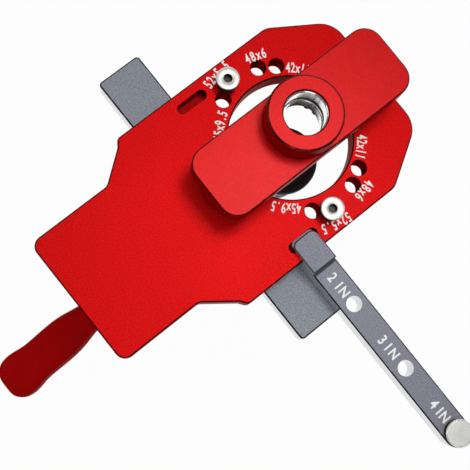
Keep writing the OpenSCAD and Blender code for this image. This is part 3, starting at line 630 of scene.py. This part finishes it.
def finish(name):
    """One of the jig's finishes, made at its first use."""
    if name in FINISHES:
        return FINISHES[name]
    c = colours()
    makers = {
        "red plate": lambda: anodised(
            "Red anodised plate", c.plate,
            # Dark edge and flank colours: painted shade on chamfers, walls and pocket floors.
            edge_shade_colour=(0.035, 0.001, 0.001), flank_colour=(0.11, 0.001, 0.001),
            flank_rough=0.30, flank_metal=0.9, sparkle=0.34,
            graze=(0.55, 0.1, 0.1, 1.0), coat=0.03, skin_rough=0.39),
        "red bridge": lambda: anodised(
            # Paler than the plate in green and blue: painted sheen.
            "Red anodised bridge", tinted(c.plate, 0.99, 1.6, 1.6),
            # Dark edge and flank colours: painted shade on chamfers and walls.
            edge_shade_colour=(0.11, 0.002, 0.002), flank_colour=(0.15, 0.002, 0.002),
            flank_rough=0.30, flank_metal=0.9, sparkle=0.17,
            graze=(1.0, 0.2, 0.2, 1.0), coat=0.17, skin_rough=0.39),
        "grey bar": lambda: anodised(
            "Grey anodised fence", c.grey,
            edge_shade_colour=(0.014, 0.014, 0.018), flank_colour=(0.60, 0.60, 0.62),
            flank_rough=0.14, flank_metal=0.95, sparkle=0.42),
        "grey arm": lambda: anodised(
            "Grey anodised arm", tinted(c.grey, 0.98, 0.915, 0.975),
            edge_shade_colour=(0.010, 0.010, 0.014), flank_colour=(0.64, 0.64, 0.66),
            flank_rough=0.12, flank_metal=0.95, sparkle=0.32),
        "zinc": lambda: plated_sheet("Zinc plated steel", c.zinc),
        "bearing": lambda: polished_steel("Bearing steel", (0.95, 0.95, 0.94), rough=0.11),
        # Near-black: painted shade on the spacer between the bearings.
        "spacer": lambda: polished_steel("Bearing spacer in painted shade", (0.05, 0.05, 0.05), rough=0.3),
        "shield": lambda: polished_steel("Bearing shield", (0.5, 0.5, 0.5), rough=0.26),
        "black steel": lambda: blackened_steel("Blackened spring steel"),
        # Near-black steel: painted shade inside the bush bores.
        "bore": lambda: polished_steel("Drilled bore in painted shade", (0.06, 0.057, 0.05), rough=0.34),
        # Hole walls much darker than the plate: painted shade.
        "red bore": lambda: polished_steel(
            "Anodised bore in painted shade", (0.20, 0.002, 0.002), rough=0.5, graze=(0.30, 0.01, 0.01, 1.0)),
        # Dark steel for upright walls of the bushes and the pin's head: painted shade.
        "knurl": lambda: polished_steel(
            "Dark steel walls in painted shade", (0.13, 0.12, 0.11), rough=0.36, graze=(0.25, 0.2, 0.18, 1.0)),
        "rubber": lambda: moulded_rubber("Black rubber", c.rubber),
        "vinyl": lambda: dipped_vinyl("Red dipped vinyl", c.vinyl),
        "ink": lambda: marking_ink("White marking with painted glow", c.ink),
        "pin": lambda: turned_steel(
            "Turned stop pin", tinted(c.steel, 1.04, 1.06, 1.06), PIN_PLACE),
        "left bush": lambda: turned_steel("Turned left bush", c.steel, BUSH_PLACES["left"]),
        "right bush": lambda: turned_steel("Turned right bush", c.steel, BUSH_PLACES["right"]),
        "spindle": lambda: turned_steel("Plated spindle", c.zinc, (CLAMP_X, 0.0), rough=0.3),
    }
    FINISHES[name] = makers[name]()
    return FINISHES[name]


# Pieces


def node_range(name):
    low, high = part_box(name)
    return low / MM, high / MM


def place(name, bm, material, body, smooth):
    """Makes a piece from a bmesh whose points are in metres in the jig's frame."""
    mesh = bpy.data.meshes.new(name)
    bm.normal_update()
    bm.to_mesh(mesh)
    bm.free()
    piece = bpy.data.objects.new(name, mesh)
    bpy.context.scene.collection.objects.link(piece)
    mesh.materials.append(material)
    for polygon in mesh.polygons:
        polygon.use_smooth = True
        polygon.material_index = 0
    mesh.set_sharp_from_angle(angle=math.radians(smooth))
    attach(piece, body)
    return piece


def inner_edges(bm):
    return [e for e in bm.edges if len(e.link_faces) == 2]


def join_flats(bm):
    """Joins the faces of a flat, one edge at a time, so that every face stays a simple outline."""
    flat = math.radians(FLAT_ANGLE)
    inner = [e for e in inner_edges(bm) if e.calc_face_angle(math.pi) < flat]
    for edge in sorted(inner, key=lambda e: -e.calc_length()):
        first, second = edge.link_faces
        if len(set(first.verts) & set(second.verts)) == 2:
            bmesh.utils.face_join((first, second))


def break_edges(bm, width, broken):
    """Rounds the sharp edges a little and marks the new faces."""
    least = math.radians(SHARP_ANGLE)
    sharp = [e for e in inner_edges(bm) if e.calc_face_angle(0.0) > least]
    made = bmesh.ops.bevel(
        bm, geom=sharp, offset=width, offset_type="OFFSET", segments=2,
        profile=0.5, affect="EDGES", clamp_overlap=True, material=-1)
    for face in made["faces"]:
        face[broken] = 1.0


def mark_machining(bm, broken, pocket):
    """Marks chamfers, upright flanks and the floors of pockets for the finish, which paints shade
    on chamfers and on red flanks and pocket floors.
    """
    flank = bm.faces.layers.float.new("flank")
    bm.normal_update()
    for face in bm.faces:
        upright = abs(face.normal.z)
        if upright < FLANK_BELOW:
            face[flank] = 1.0
        elif upright < FLAT_ABOVE:
            face[broken] = 1.0
        elif face.normal.z > 0 and pocket is not None:
            if face.calc_center_median().z < pocket * MM:
                face[flank] = POCKET_SHADE


def dress(name, material, edge=None, machined=False, pocket=None):
    """Stands a merged copy of a CAD node in for it, with its edges broken by a small round.

    edge is the round's width in millimetres. A machined piece also has its chamfers and flanks
    marked for the finish, and the floors of its pockets, which lie below the height given. The
    anodised finishes paint shade on the chamfers, and the red ones on the flanks and pocket floors
    too.
    """
    source = cad_nodes[name]
    bm = bmesh.new()
    bm.from_mesh(source.data)
    bmesh.ops.remove_doubles(bm, verts=bm.verts, dist=CAD_MERGE)
    join_flats(bm)
    for layer in list(bm.loops.layers.uv):
        bm.loops.layers.uv.remove(layer)
    broken = bm.faces.layers.float.new("broken_edge")
    break_edges(bm, (detail().edge_break if edge is None else edge) * MM, broken)
    if machined:
        mark_machining(bm, broken, pocket)
    piece = place("finished_" + name, bm, material, source["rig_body"], smooth=40.0)
    weighted = piece.modifiers.new("Even shading", "WEIGHTED_NORMAL")
    weighted.keep_sharp = True
    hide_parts(name)
    return piece


def dress_zinc(edge, *names):
    """Dresses nodes in zinc plate, with rounds of the given width in millimetres."""
    for name in names:
        dress(name, finish("zinc"), edge)


def across(point, centre):
    """Distance of a point in metres from an upright axis, in millimetres."""
    return (Vector((point.x, point.y)) / MM - Vector(centre)).length


def is_wall(polygon):
    return abs(polygon.normal.z) < WALL_BELOW


def line_walls(piece, centres, radius, material):
    """Gives round upright walls within a radius of some centres a finish of their own."""
    piece.data.materials.append(material)
    for polygon in piece.data.polygons:
        if is_wall(polygon) and any(across(polygon.center, c) < radius for c in centres):
            polygon.material_index = 1


def paint(name, material):
    """Gives a CAD node its finish and leaves its shape."""
    mesh = cad_nodes[name].data
    mesh.materials.clear()
    mesh.materials.append(material)


def close_rim(bm, geometry):
    bmesh.ops.contextual_create(bm, geom=geometry)


def face_outwards(bm):
    bmesh.ops.recalc_face_normals(bm, faces=bm.faces)


def only_verts(geometry):
    return [v for v in geometry if isinstance(v, bmesh.types.BMVert)]


def spun(bm, profile, centre):
    """Spins a profile of radius and height round an upright axis into a closed shell."""
    x, y = centre[0] * MM, centre[1] * MM
    points = [bm.verts.new((x + radius * MM, y, z * MM)) for radius, z in profile]
    edges = [bm.edges.new(pair) for pair in zip(points, points[1:])]
    bmesh.ops.spin(
        bm, geom=points + edges, cent=(x, y, 0), axis=(0, 0, 1), angle=math.tau,
        steps=SPIN_STEPS, use_merge=True, use_duplicate=False)
    bmesh.ops.remove_doubles(bm, verts=bm.verts, dist=FINE_MERGE)


def letters(name, text, height, body, layout, width, weight):
    """Raises figures as thin closed letters.

    layout turns a letter's index into its matrix. width is a share of the font's own, and weight
    thickens the strokes, in millimetres.
    """
    joined = bmesh.new()
    for index, letter in enumerate(text):
        curve = bpy.data.curves.new(name + "_figure", "FONT")
        curve.body = letter
        curve.size = height / CAPITAL_SHARE * MM
        curve.align_x = "CENTER"
        curve.align_y = "BOTTOM_BASELINE"
        curve.offset = weight * MM
        curve.extrude = INK_HALF * MM
        curve.resolution_u = 6
        shown = bpy.data.objects.new(name + "_figure", curve)
        bpy.context.scene.collection.objects.link(shown)
        bpy.context.view_layer.update()
        mesh = bpy.data.meshes.new_from_object(shown)
        mesh.transform(layout(index) @ Matrix.Diagonal((width, 1, 1, 1)))
        joined.from_mesh(mesh)
        bpy.data.objects.remove(shown)
        bpy.data.curves.remove(curve)
        bpy.data.meshes.remove(mesh)
    bmesh.ops.remove_doubles(joined, verts=joined.verts, dist=FINE_MERGE)
    face_outwards(joined)
    return place(name, joined, finish("ink"), body, smooth=30.0)


def ring_figures(name, text, radius, middle, step):
    """Figures that run clockwise round the opening with their tops outwards."""
    half = (len(text) - 1) / 2
    height = detail().ring_figure_height

    def layout(index):
        turn = math.radians(middle - (index - half) * step)
        base = radius - height / 2
        spot = (base * math.cos(turn), base * math.sin(turn), PLATE_TOP + INK_HALF)
        moved = Matrix.Translation(Vector(spot) * MM)
        return moved @ Matrix.Rotation(turn - math.pi / 2, 4, "Z")

    return letters(name, text, height, "jig_body", layout,
                   width=0.62, weight=0.10)


# Operators


class JIG_OT_base_plate(bpy.types.Operator):
    """Finish the base plate and mark the hinge patterns beside their holes"""

    bl_idname = "jig.base_plate"
    bl_label = "Base plate"

    def execute(self, context):
        plate = dress(
            "main_plate", finish("red plate"), machined=True, pocket=POCKET_BELOW)
        holes = [(side * x, y) for side in (-1, 1) for x, y in PATTERN_HOLES]
        # The hinge holes' walls get the darker red: painted shade.
        line_walls(plate, holes, PATTERN_SHADED_WALL, finish("red bore"))
        for text, radius, middle, step in PATTERN_FIGURES:
            label = text.replace(".", "_")
            ring_figures("right_figures_" + label, text, radius, middle, step)
            ring_figures("left_figures_" + label, text, radius, 180.0 - middle, step)
        return {"FINISHED"}


class JIG_OT_bridge(bpy.types.Operator):
    """Finish the bridge with its boss, its posts and the screws below"""

    bl_idname = "jig.bridge"
    bl_label = "Bridge"

    def execute(self, context):
        dress("bridge", finish("red bridge"), edge=0.045, machined=True)
        for name in ("rear_bridge_post", "front_bridge_post"):
            dress(name, finish("red bridge"), machined=True)
        dress_zinc(0.06, "bridge_screws")
        return {"FINISHED"}


class JIG_OT_bearings(bpy.types.Operator):
    """Finish the two shank bearings, their spacer and the spring ring"""

    bl_idname = "jig.bearings"
    bl_label = "Bearings"

    def execute(self, context):
        for level in ("upper", "lower"):
            for ring in ("outer", "inner"):
                name = f"{level}_bearing_{ring}_ring"
                dress(name, finish("bearing"), edge=0.06)
            paint(level + "_bearing_balls", finish("bearing"))
            paint(level + "_bearing_cage", finish("shield"))
        paint("bearing_shields", finish("shield"))
        dress("bearing_spacer", finish("spacer"), edge=0.06)
        dress("bearing_circlip", finish("black steel"), edge=0.05)
        return {"FINISHED"}


class JIG_OT_fence(bpy.types.Operator):
    """Finish the fence bar and its screws and washers"""

    bl_idname = "jig.fence"
    bl_label = "Fence"

    def execute(self, context):
        dress("fence_bar", finish("grey bar"), machined=True)
        dress_zinc(0.06, "fence_screws")
        dress_zinc(0.05, "fence_washers")
        return {"FINISHED"}


class JIG_OT_stop_arm(bpy.types.Operator):
    """Finish the stop arm with its distance marks, and the stop pin"""

    bl_idname = "jig.stop_arm"
    bl_label = "Stop arm"

    def execute(self, context):
        arm = dress("stop_arm", finish("grey arm"), edge=0.18, machined=True)
        # The head's edges get less of the painted edge shade than the arm's.
        broken = arm.data.attributes["broken_edge"].data
        for polygon in arm.data.polygons:
            if polygon.center.z > HEAD_ABOVE * MM:
                broken[polygon.index].value *= HEAD_EDGE
        pin = dress("stop_pin", finish("pin"), edge=0.15)
        # The pin head's side wall gets the dark steel: painted shade.
        line_walls(pin, [PIN_PLACE], PIN_SHADED_WALL, finish("knurl"))
        height = detail().arm_figure_height

        def layout(index):
            spot = (ARM_FIGURES[index][1], PIN_PLACE[1] - height / 2, PLATE_TOP + INK_HALF)
            return Matrix.Translation(Vector(spot) * MM)

        text = "".join(figure for figure, _ in ARM_FIGURES)
        letters("arm_distance_marks", text, height, "arm", layout,
                width=0.84, weight=0.09)
        return {"FINISHED"}


class JIG_OT_bushes(bpy.types.Operator):
    """Turn the two drill bushes with their knurled necks"""

    bl_idname = "jig.bushes"
    bl_label = "Drill bushes"

    def execute(self, context):
        for side, centre in BUSH_PLACES.items():
            bm = bmesh.new()
            spun(bm, BUSH_OUTLINE, centre)
            self.knurl(bm, centre)
            face_outwards(bm)
            piece = place(side + "_knurled_bush", bm, finish(side + " bush"), "bush_" + side,
                          smooth=28.0)
            piece.data.materials.append(finish("bore"))
            piece.data.materials.append(finish("knurl"))
            for polygon in piece.data.polygons:
                # The bore and the head and neck walls get darker steel: painted shade.
                if across(polygon.center, centre) < BORE_WALL:
                    polygon.material_index = 1
                elif is_wall(polygon) and polygon.center.z > SHADED_WALL_ABOVE * MM:
                    polygon.material_index = 2
            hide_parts(side + "_bush")
        return {"FINISHED"}

    def knurl(self, bm, centre):
        """Raises a closed ring of upright teeth round the neck."""
        x, y = centre[0] * MM, centre[1] * MM
        foot = Matrix.Translation(Vector((*centre, KNURL_FOOT)) * MM)
        ring = bmesh.ops.create_circle(
            bm, cap_ends=False, segments=detail().knurl_teeth * 2, radius=KNURL_RADIUS * MM,
            matrix=foot)["verts"]
        in_turn = sorted(ring, key=lambda v: math.atan2(v.co.y - y, v.co.x - x))
        for corner in in_turn[1::2]:
            middle = Vector((x, y, corner.co.z))
            corner.co = middle + (corner.co - middle) * KNURL_VALLEY
        edges = list({e for v in ring for e in v.link_edges})
        raised = only_verts(bmesh.ops.extrude_edge_only(bm, edges=edges)["geom"])
        bmesh.ops.translate(bm, verts=raised, vec=(0, 0, KNURL_HEIGHT * MM))
        close_rim(bm, ring)
        close_rim(bm, raised)


class JIG_OT_clamp_bracket(bpy.types.Operator):
    """Finish the clamp's two brackets with their screws and rivets"""

    bl_idname = "jig.clamp_bracket"
    bl_label = "Clamp brackets"

    def execute(self, context):
        dress_zinc(0.18, "clamp_base_left", "clamp_base_right")
        dress_zinc(0.07, "clamp_base_screws", "arm_pivot_rivet", "link_pivot_rivets")
        return {"FINISHED"}


class JIG_OT_clamp_arm(bpy.types.Operator):
    """Finish the clamp arm with its nuts and washers"""

    bl_idname = "jig.clamp_arm"
    bl_label = "Clamp arm"

    def execute(self, context):
        dress_zinc(0.18, "clamp_arm")
        dress_zinc(0.08, "spindle_nuts", "spindle_washers", "handle_pivot_rivet")
        return {"FINISHED"}


class JIG_OT_pad(bpy.types.Operator):
    """Cut the spindle's thread and mould the rubber pad"""

    bl_idname = "jig.pad"
    bl_label = "Spindle and pad"

    def execute(self, context):
        self.spindle()
        self.pad()
        return {"FINISHED"}

    def spindle(self):
        low, high = node_range("pad_spindle")
        pitch = detail().thread_pitch
        radius = (high.x - low.x) / 2
        depth = THREAD_DEPTH * pitch
        top = high.z - SHANK_LENGTH
        bm = bmesh.new()
        self.thread(bm, radius, depth, pitch, low.z, top)
        for height, way in ((low.z, -1), (top, 1)):
            cut = bmesh.ops.bisect_plane(
                bm, geom=list(bm.verts) + list(bm.edges) + list(bm.faces),
                plane_co=(0, 0, height * MM), plane_no=(0, 0, way), clear_outer=True)
            close_rim(bm, [e for e in cut["geom_cut"] if isinstance(e, bmesh.types.BMEdge)])
        self.chamfer_end(bm, radius, low.z)
        face_outwards(bm)
        spun(bm, (
            (0.0, top - SHANK_OVERLAP), (radius - depth * 0.5, top - SHANK_OVERLAP),
            (radius - SHANK_INSET, top), (radius - SHANK_INSET, high.z - SHANK_CHAMFER),
            (radius - SHANK_CHAMFER, high.z), (0.0, high.z),
        ), (CLAMP_X, 0.0))
        face_outwards(bm)
        piece = place("threaded_pad_spindle", bm, finish("spindle"), "pad",
                      smooth=30.0)
        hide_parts("pad_spindle")

    def thread(self, bm, radius, depth, pitch, low, top):
        """Sweeps a tooth up a helix, from a turn below the lower end to above the upper one."""
        turns = math.ceil((top - low) / pitch) + 1
        points = []
        for crest, part in THREAD_TOOTH:
            out = CLAMP_X + (radius if crest else radius - depth)
            points.append(bm.verts.new(Vector((out, 0, low - pitch + part * pitch)) * MM))
        edges = [bm.edges.new(pair) for pair in zip(points, points[1:])]
        bmesh.ops.spin(
            bm, geom=points + edges, cent=(CLAMP_X * MM, 0, 0), axis=(0, 0, 1),
            dvec=(0, 0, pitch / THREAD_STEPS * MM), angle=math.tau * turns,
            steps=THREAD_STEPS * turns, use_merge=False, use_duplicate=False)
        bmesh.ops.remove_doubles(bm, verts=bm.verts, dist=THREAD_MERGE)

    def chamfer_end(self, bm, radius, low):
        for corner in bm.verts:
            out = Vector((corner.co.x - CLAMP_X * MM, corner.co.y))
            most = (radius - THREAD_CHAMFER) * MM + (corner.co.z - low * MM)
            if out.length > most > 0:
                out *= most / out.length
                corner.co.x, corner.co.y = CLAMP_X * MM + out.x, out.y

    def pad(self):
        low, high = node_range("rubber_pad")
        radius = (high.x - low.x) / 2
        top, foot = high.z, low.z
        floor = top - GROOVE_DEPTH
        face = [(0.0, floor), (2.2, floor), (2.5, top)]
        for groove in GROOVE_RADII:
            face += [(groove - 0.5, top), (groove - 0.3, floor), (groove + 0.1, floor),
                     (groove + 0.3, top)]
        outside = [
            (radius - 0.75, top), (radius - 0.25, top - 0.15), (radius, top - 0.65),
            (radius, top - 2.5), (radius - 0.25, top - 3.1), (radius - 1.1, top - 3.75),
            (9.0, foot + 1.6), (8.3, foot + 0.85), (7.7, foot + 0.55), (7.3, foot + 0.15),
            (6.9, foot), (4.5, foot), (4.05, foot + 0.3), (4.01, top - 3.1), (3.41, top - 2.5),
            (0.0, top - 2.5),
        ]
        bm = bmesh.new()
        spun(bm, face + outside, (CLAMP_X, 0.0))
        face_outwards(bm)
        piece = place("ribbed_rubber_pad", bm, finish("rubber"), "pad",
                      smooth=38.0)
        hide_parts("rubber_pad")


class JIG_OT_handle(bpy.types.Operator):
    """Finish the steel lever and dip its grip"""

    bl_idname = "jig.handle"
    bl_label = "Handle"

    def execute(self, context):
        dress_zinc(0.18, "handle_lever")
        bm = bmesh.new()
        neck_place = Matrix.Translation(Vector((GRIP_X, GRIP_RINGS[0][0], GRIP_Z)) * MM)
        first = bmesh.ops.create_circle(
            bm, cap_ends=False, segments=GRIP_STEPS, radius=MM,
            matrix=neck_place @ Matrix.Rotation(math.pi / 2, 4, "X"))["verts"]
        ring = list(first)
        self.shape(ring, *GRIP_RINGS[0])
        for size in GRIP_RINGS[1:]:
            edges = list({e for v in ring for e in v.link_edges if e.other_vert(v) in ring})
            ring = only_verts(bmesh.ops.extrude_edge_only(bm, edges=edges)["geom"])
            self.shape(ring, *size)
        close_rim(bm, ring)
        close_rim(bm, first)
        end, neck = GRIP_SPAN
        for corner in bm.verts:
            along = (corner.co.y / MM - end) / (neck - end)
            corner.co.x += (GRIP_SHIFT[0] * (1 - along) + GRIP_SHIFT[1] * along) * MM
        face_outwards(bm)
        piece = place("dipped_grip", bm, finish("vinyl"), "handle", smooth=60.0)
        smooth = piece.modifiers.new("Soft skin", "SUBSURF")
        smooth.levels = 2
        smooth.render_levels = 2
        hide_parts("handle_grip")
        return {"FINISHED"}

    def shape(self, ring, y, half_width, half_thickness):
        """Sets a ring to its place and size, with flattened sides."""
        for corner in ring:
            turn = math.atan2(corner.co.z / MM - GRIP_Z, corner.co.x / MM - GRIP_X)
            side, up = (math.copysign(abs(part) ** GRIP_FLATTENING, part)
                        for part in (math.cos(turn), math.sin(turn)))
            corner.co = Vector((GRIP_X + half_width * side, y, GRIP_Z + half_thickness * up)) * MM


class JIG_OT_links(bpy.types.Operator):
    """Finish the pair of toggle links"""

    bl_idname = "jig.links"
    bl_label = "Toggle links"

    def execute(self, context):
        dress_zinc(0.12, "toggle_links")
        dress_zinc(0.05, "link_end_rivets")
        return {"FINISHED"}


class JIG_OT_stage(bpy.types.Operator):
    """Set out the pale floor, soft lamps and camera"""

    bl_idname = "jig.stage"
    bl_label = "Stage"

    def execute(self, context):
        scene = context.scene
        stage = scene.jig_stage
        scene.view_settings.view_transform = "Standard"
        self.floor()
        self.sky(scene, stage.sky)
        self.lamp("Key lamp", *KEY_LAMP, stage.key_power)
        self.lamp("Overhead lamp", *OVERHEAD_LAMP, stage.fill_power)
        for name, x, y in SIDE_LAMPS:
            at = (SIDE_REACH * x, SIDE_REACH * y, SIDE_HEIGHT)
            self.lamp(name + " lamp", at, SIDE_SIZE, stage.side_power)
        camera = bpy.data.objects.new("Camera", bpy.data.cameras.new("Camera"))
        camera.data.lens = stage.lens
        camera.data.sensor_width = 36.0
        camera.data.clip_start = 0.01
        camera.location = Vector(CAMERA_PLACE) * MM
        camera.rotation_euler = [math.radians(a) for a in CAMERA_TURN]
        scene.collection.objects.link(camera)
        scene.camera = camera
        return {"FINISHED"}

    def floor(self):
        bm = bmesh.new()
        bmesh.ops.create_circle(
            bm, cap_ends=True, segments=64, radius=FLOOR_RADIUS,
            matrix=Matrix.Translation((0, 0, FLOOR_Z * MM)))
        mesh = bpy.data.meshes.new("Floor")
        bm.to_mesh(mesh)
        bm.free()
        floor = bpy.data.objects.new("Floor", mesh)
        bpy.context.scene.collection.objects.link(floor)
        mesh.materials.append(self.floor_finish())

    def floor_finish(self):
        """White to the camera and in mirrors, a pale board to other light, and clear from below."""
        material = bpy.data.materials.new("Pale floor")
        material.use_nodes = True
        tree = material.node_tree
        tree.nodes.remove(tree.nodes["Principled BSDF"])
        path = tree.nodes.new("ShaderNodeLightPath").outputs
        seen = math_node(tree, "MAXIMUM", path["Is Camera Ray"], path["Is Glossy Ray"])
        seen = math_node(tree, "MAXIMUM", seen, path["Is Transmission Ray"])
        board = node(tree, "ShaderNodeBsdfDiffuse", Color=(0.7, 0.7, 0.7, 1))
        bright = node(tree, "ShaderNodeEmission", Color=(1, 1, 1, 1), Strength=1.0)
        clear = tree.nodes.new("ShaderNodeBsdfTransparent")
        behind = tree.nodes.new("ShaderNodeNewGeometry").outputs["Backfacing"]
        above = node(tree, "ShaderNodeMixShader", i0=times(tree, seen, FLOOR_GLOW),
                     i1=board.outputs[0], i2=bright.outputs[0])
        sided = node(tree, "ShaderNodeMixShader", i0=behind, i1=above.outputs[0],
                     i2=clear.outputs[0])
        tree.links.new(sided.outputs[0], tree.nodes["Material Output"].inputs["Surface"])
        return material

    def sky(self, scene, strength):
        world = bpy.data.worlds.new("Studio")
        scene.world = world
        world.use_nodes = True
        tree = world.node_tree
        path = tree.nodes.new("ShaderNodeLightPath").outputs
        seen = math_node(tree, "MAXIMUM", path["Is Camera Ray"], path["Is Transmission Ray"])
        fill(tree, tree.nodes["Background"], Color=(1, 1, 1, 1),
             Strength=ranged(tree, seen, low=strength, span=1.0 - strength))

    def lamp(self, name, at, size, power):
        data = bpy.data.lights.new(name, "AREA")
        data.shape = "SQUARE"
        data.size = size
        data.energy = power
        lamp = bpy.data.objects.new(name, data)
        lamp.location = at
        lamp.rotation_euler = (Vector(LAMP_AIM) - Vector(at)).to_track_quat("-Z", "Y").to_euler()
        bpy.context.scene.collection.objects.link(lamp)


STEPS = (
    JIG_OT_base_plate, JIG_OT_bridge, JIG_OT_bearings, JIG_OT_fence, JIG_OT_stop_arm,
    JIG_OT_bushes, JIG_OT_clamp_bracket, JIG_OT_clamp_arm, JIG_OT_pad, JIG_OT_handle,
    JIG_OT_links, JIG_OT_stage,
)


class JIG_PT_panel(bpy.types.Panel):
    """The jig's pieces, sizes and colours"""

    bl_idname = "JIG_PT_panel"
    bl_label = "Hinge jig"
    bl_space_type = "VIEW_3D"
    bl_region_type = "UI"
    bl_category = "Hinge Jig"

    def draw(self, context):
        scene = context.scene
        for settings in (scene.jig_colours, scene.jig_detail, scene.jig_stage):
            column = self.layout.column(align=True)
            for key in settings.__annotations__:
                column.prop(settings, key)
        column = self.layout.column()
        for step in STEPS:
            column.operator(step.bl_idname)


CLASSES = (JigColours, JigDetail, JigStage) + STEPS + (JIG_PT_panel,)


def register():
    for cls in CLASSES:
        bpy.utils.register_class(cls)
    bpy.types.Scene.jig_colours = bpy.props.PointerProperty(type=JigColours)
    bpy.types.Scene.jig_detail = bpy.props.PointerProperty(type=JigDetail)
    bpy.types.Scene.jig_stage = bpy.props.PointerProperty(type=JigStage)


def unregister():
    del bpy.types.Scene.jig_stage
    del bpy.types.Scene.jig_detail
    del bpy.types.Scene.jig_colours
    for cls in reversed(CLASSES):
        bpy.utils.unregister_class(cls)


def main():
    register()
    for step in STEPS:
        group, name = step.bl_idname.split(".")
        getattr(getattr(bpy.ops, group), name)()
    bpy.context.view_layer.update()


if __name__ == "__main__":
    main()
